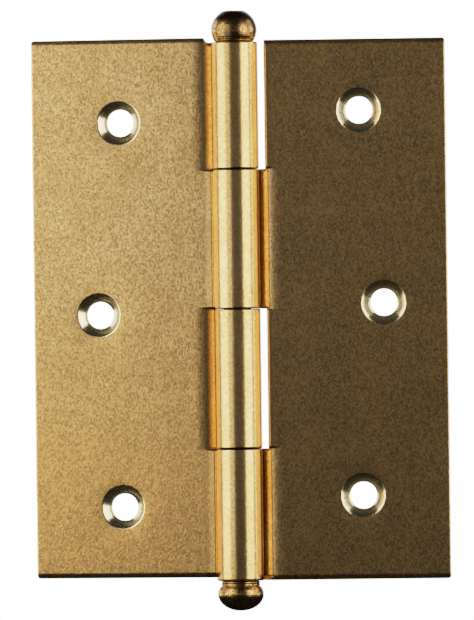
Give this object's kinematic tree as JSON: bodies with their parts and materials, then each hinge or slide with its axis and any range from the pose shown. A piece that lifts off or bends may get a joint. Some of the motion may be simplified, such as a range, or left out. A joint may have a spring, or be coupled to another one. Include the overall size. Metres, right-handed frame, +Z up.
{
  "type": "door hinge",
  "caption": "Brass butt hinge for a door: rolled-sheet leaves turn on a plain pin with a turned ball cap on each end, and are countersunk on the front for wood screws.",
  "frame": {"origin": "on the flat back face of the frame leaf, midway between the barrel's ends and in line with the leaf's two outer screw holes", "axes": "+Y is the outward normal of the frame leaf's back, +Z runs up along the pin, +X points away from the barrel across the frame leaf"},
  "size_m": [0.0694, 0.0117, 0.1008],
  "materials": {
    "leaf_brass": "satin",
    "pin_brass": "satin",
    "cap_brass": "polished"
  },
  "bodies": {
    "frame_side": {"frame_leaf": "leaf_brass"},
    "door_side": {"door_leaf": "leaf_brass"},
    "pin": {"hinge_pin": "pin_brass", "top_finial": "cap_brass", "bottom_finial": "cap_brass"}
  },
  "joints": [
    {"name": "door_swing", "type": "hinge", "parent": "frame_side", "child": "door_side", "pos_m": [-0.0206, -0.0019, 0], "axis": [0, 0, 1], "range_deg": [-80, 190]},
    {"name": "pin_turn", "type": "hinge", "parent": "frame_side", "child": "pin", "pos_m": [-0.0206, -0.0019, 0], "axis": [0, 0, 1], "continuous": true}
  ]
}
